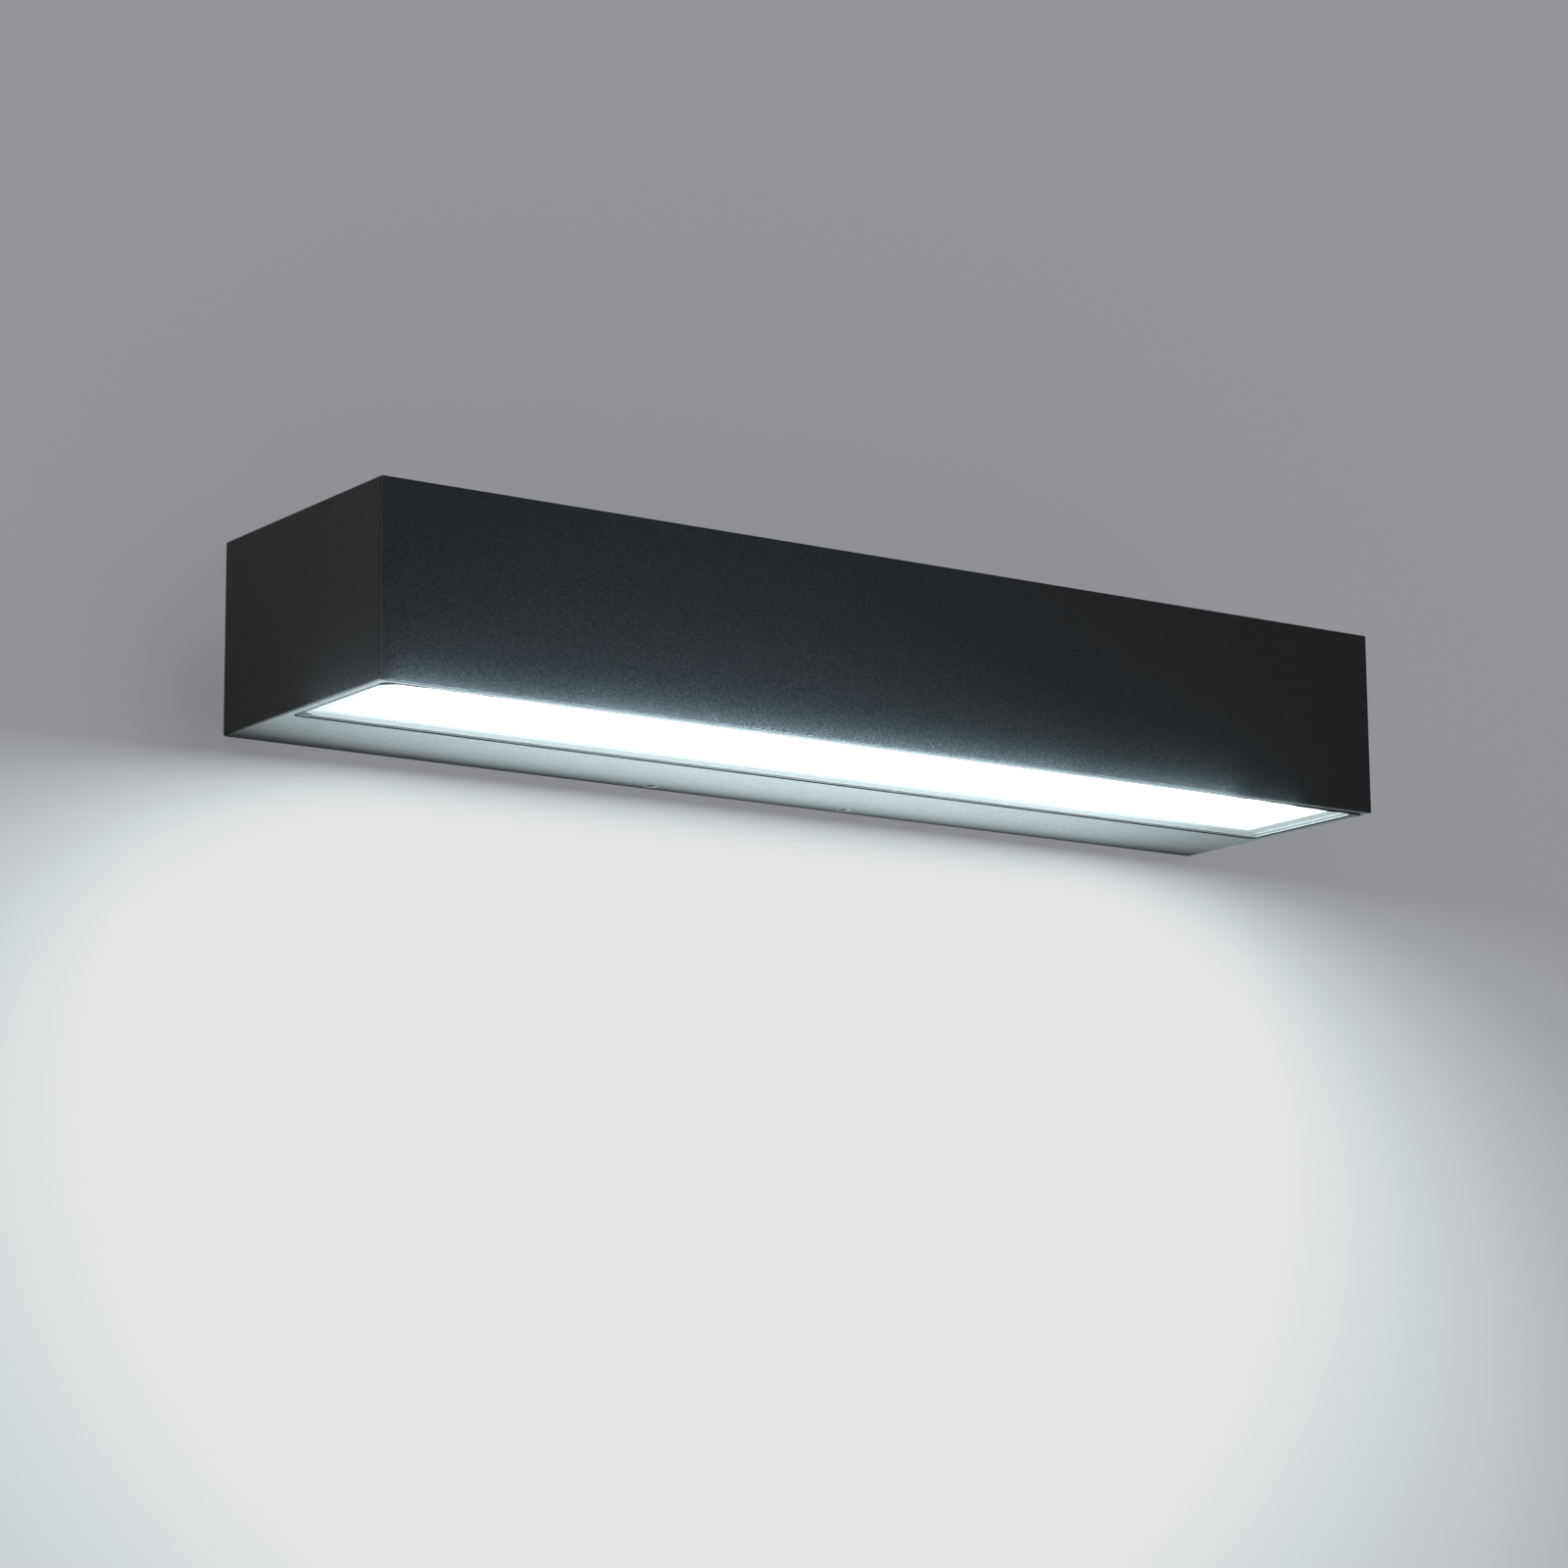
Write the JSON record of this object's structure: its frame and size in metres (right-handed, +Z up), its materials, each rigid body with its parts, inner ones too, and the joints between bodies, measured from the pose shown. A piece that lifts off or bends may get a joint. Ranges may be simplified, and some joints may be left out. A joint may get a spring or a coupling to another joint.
{
  "type": "outdoor wall light",
  "caption": "Long rectangular LED outdoor wall light that shines down through a glass pane in its underside, hung on a steel wall bracket and locked by set screws from below.",
  "frame": {"origin": "middle of the wall bracket's back face, on the wall", "axes": "+X to the right seen from the front, along the light; +Y into the wall; +Z up"},
  "size_m": [0.4, 0.1, 0.0647],
  "materials": {
    "black_powder_coat": "fine-textured black powder coat on cast aluminium",
    "clear_glass": "clear toughened glass, ground edges",
    "black_rubber": "matt black silicone rubber",
    "opal_plastic": "opal white acrylic, lit from inside",
    "white_coat": "white reflector paint on aluminium",
    "bare_aluminium": "mill-finish aluminium sheet",
    "board_white": "white solder mask on an aluminium board",
    "zinc_steel": "zinc-plated steel sheet",
    "zinc_screw": "bright zinc-plated steel",
    "dark_steel": "blackened steel",
    "black_plastic": "matt black polyamide",
    "white_plastic": "off-white polyamide",
    "brown_lead": "brown silicone insulation",
    "blue_lead": "blue silicone insulation",
    "green_lead": "green and yellow silicone insulation",
    "red_lead": "red silicone insulation",
    "black_lead": "black silicone insulation"
  },
  "bodies": {
    "bracket": {"wall_bracket": "zinc_steel"},
    "light": {"housing": "black_powder_coat", "pane": "clear_glass", "pane_seal": "black_rubber", "opal_diffuser": "opal_plastic", "reflector": "white_coat", "gear_tray": "bare_aluminium", "lamp_board": "board_white", "driver_case": "black_plastic", "driver_lid": "black_plastic", "terminal_block": "white_plastic", "rear_cover": "bare_aluminium", "cover_seal": "black_rubber", "gland_body": "black_plastic", "gland_locknut": "black_plastic", "gland_insert": "black_rubber", "gland_nut": "black_plastic", "lead_live": "brown_lead", "lead_neutral": "blue_lead", "lead_earth": "green_lead", "lead_positive": "red_lead", "lead_negative": "black_lead", "pole_screw_1": "zinc_screw", "pole_screw_2": "zinc_screw", "pole_screw_3": "zinc_screw", "block_screw": "zinc_screw", "earth_screw": "zinc_screw", "cover_screw_1": "zinc_screw", "cover_screw_2": "zinc_screw", "cover_screw_3": "zinc_screw", "cover_screw_4": "zinc_screw", "cover_screw_5": "zinc_screw", "cover_screw_6": "zinc_screw", "cover_screw_7": "zinc_screw", "cover_screw_8": "zinc_screw", "tray_screw_1": "zinc_screw", "tray_screw_2": "zinc_screw", "tray_screw_3": "zinc_screw", "board_screw_1": "zinc_screw", "board_screw_2": "zinc_screw", "board_screw_3": "zinc_screw", "board_screw_4": "zinc_screw", "driver_screw_1": "zinc_screw", "driver_screw_2": "zinc_screw"},
    "left_set_screw": {"set_screw_left": "dark_steel"},
    "right_set_screw": {"set_screw_right": "dark_steel"}
  },
  "joints": [
    {"name": "housing_lift_off", "type": "slide", "parent": "bracket", "child": "light", "axis": [0, -1, 0], "range_m": [0, 0.04]},
    {"name": "set_screw_left_travel", "type": "slide", "parent": "light", "child": "left_set_screw", "axis": [0, 0, -1], "range_m": [0, 0.002]},
    {"name": "set_screw_right_travel", "type": "slide", "parent": "light", "child": "right_set_screw", "axis": [0, 0, -1], "range_m": [0, 0.002]}
  ]
}
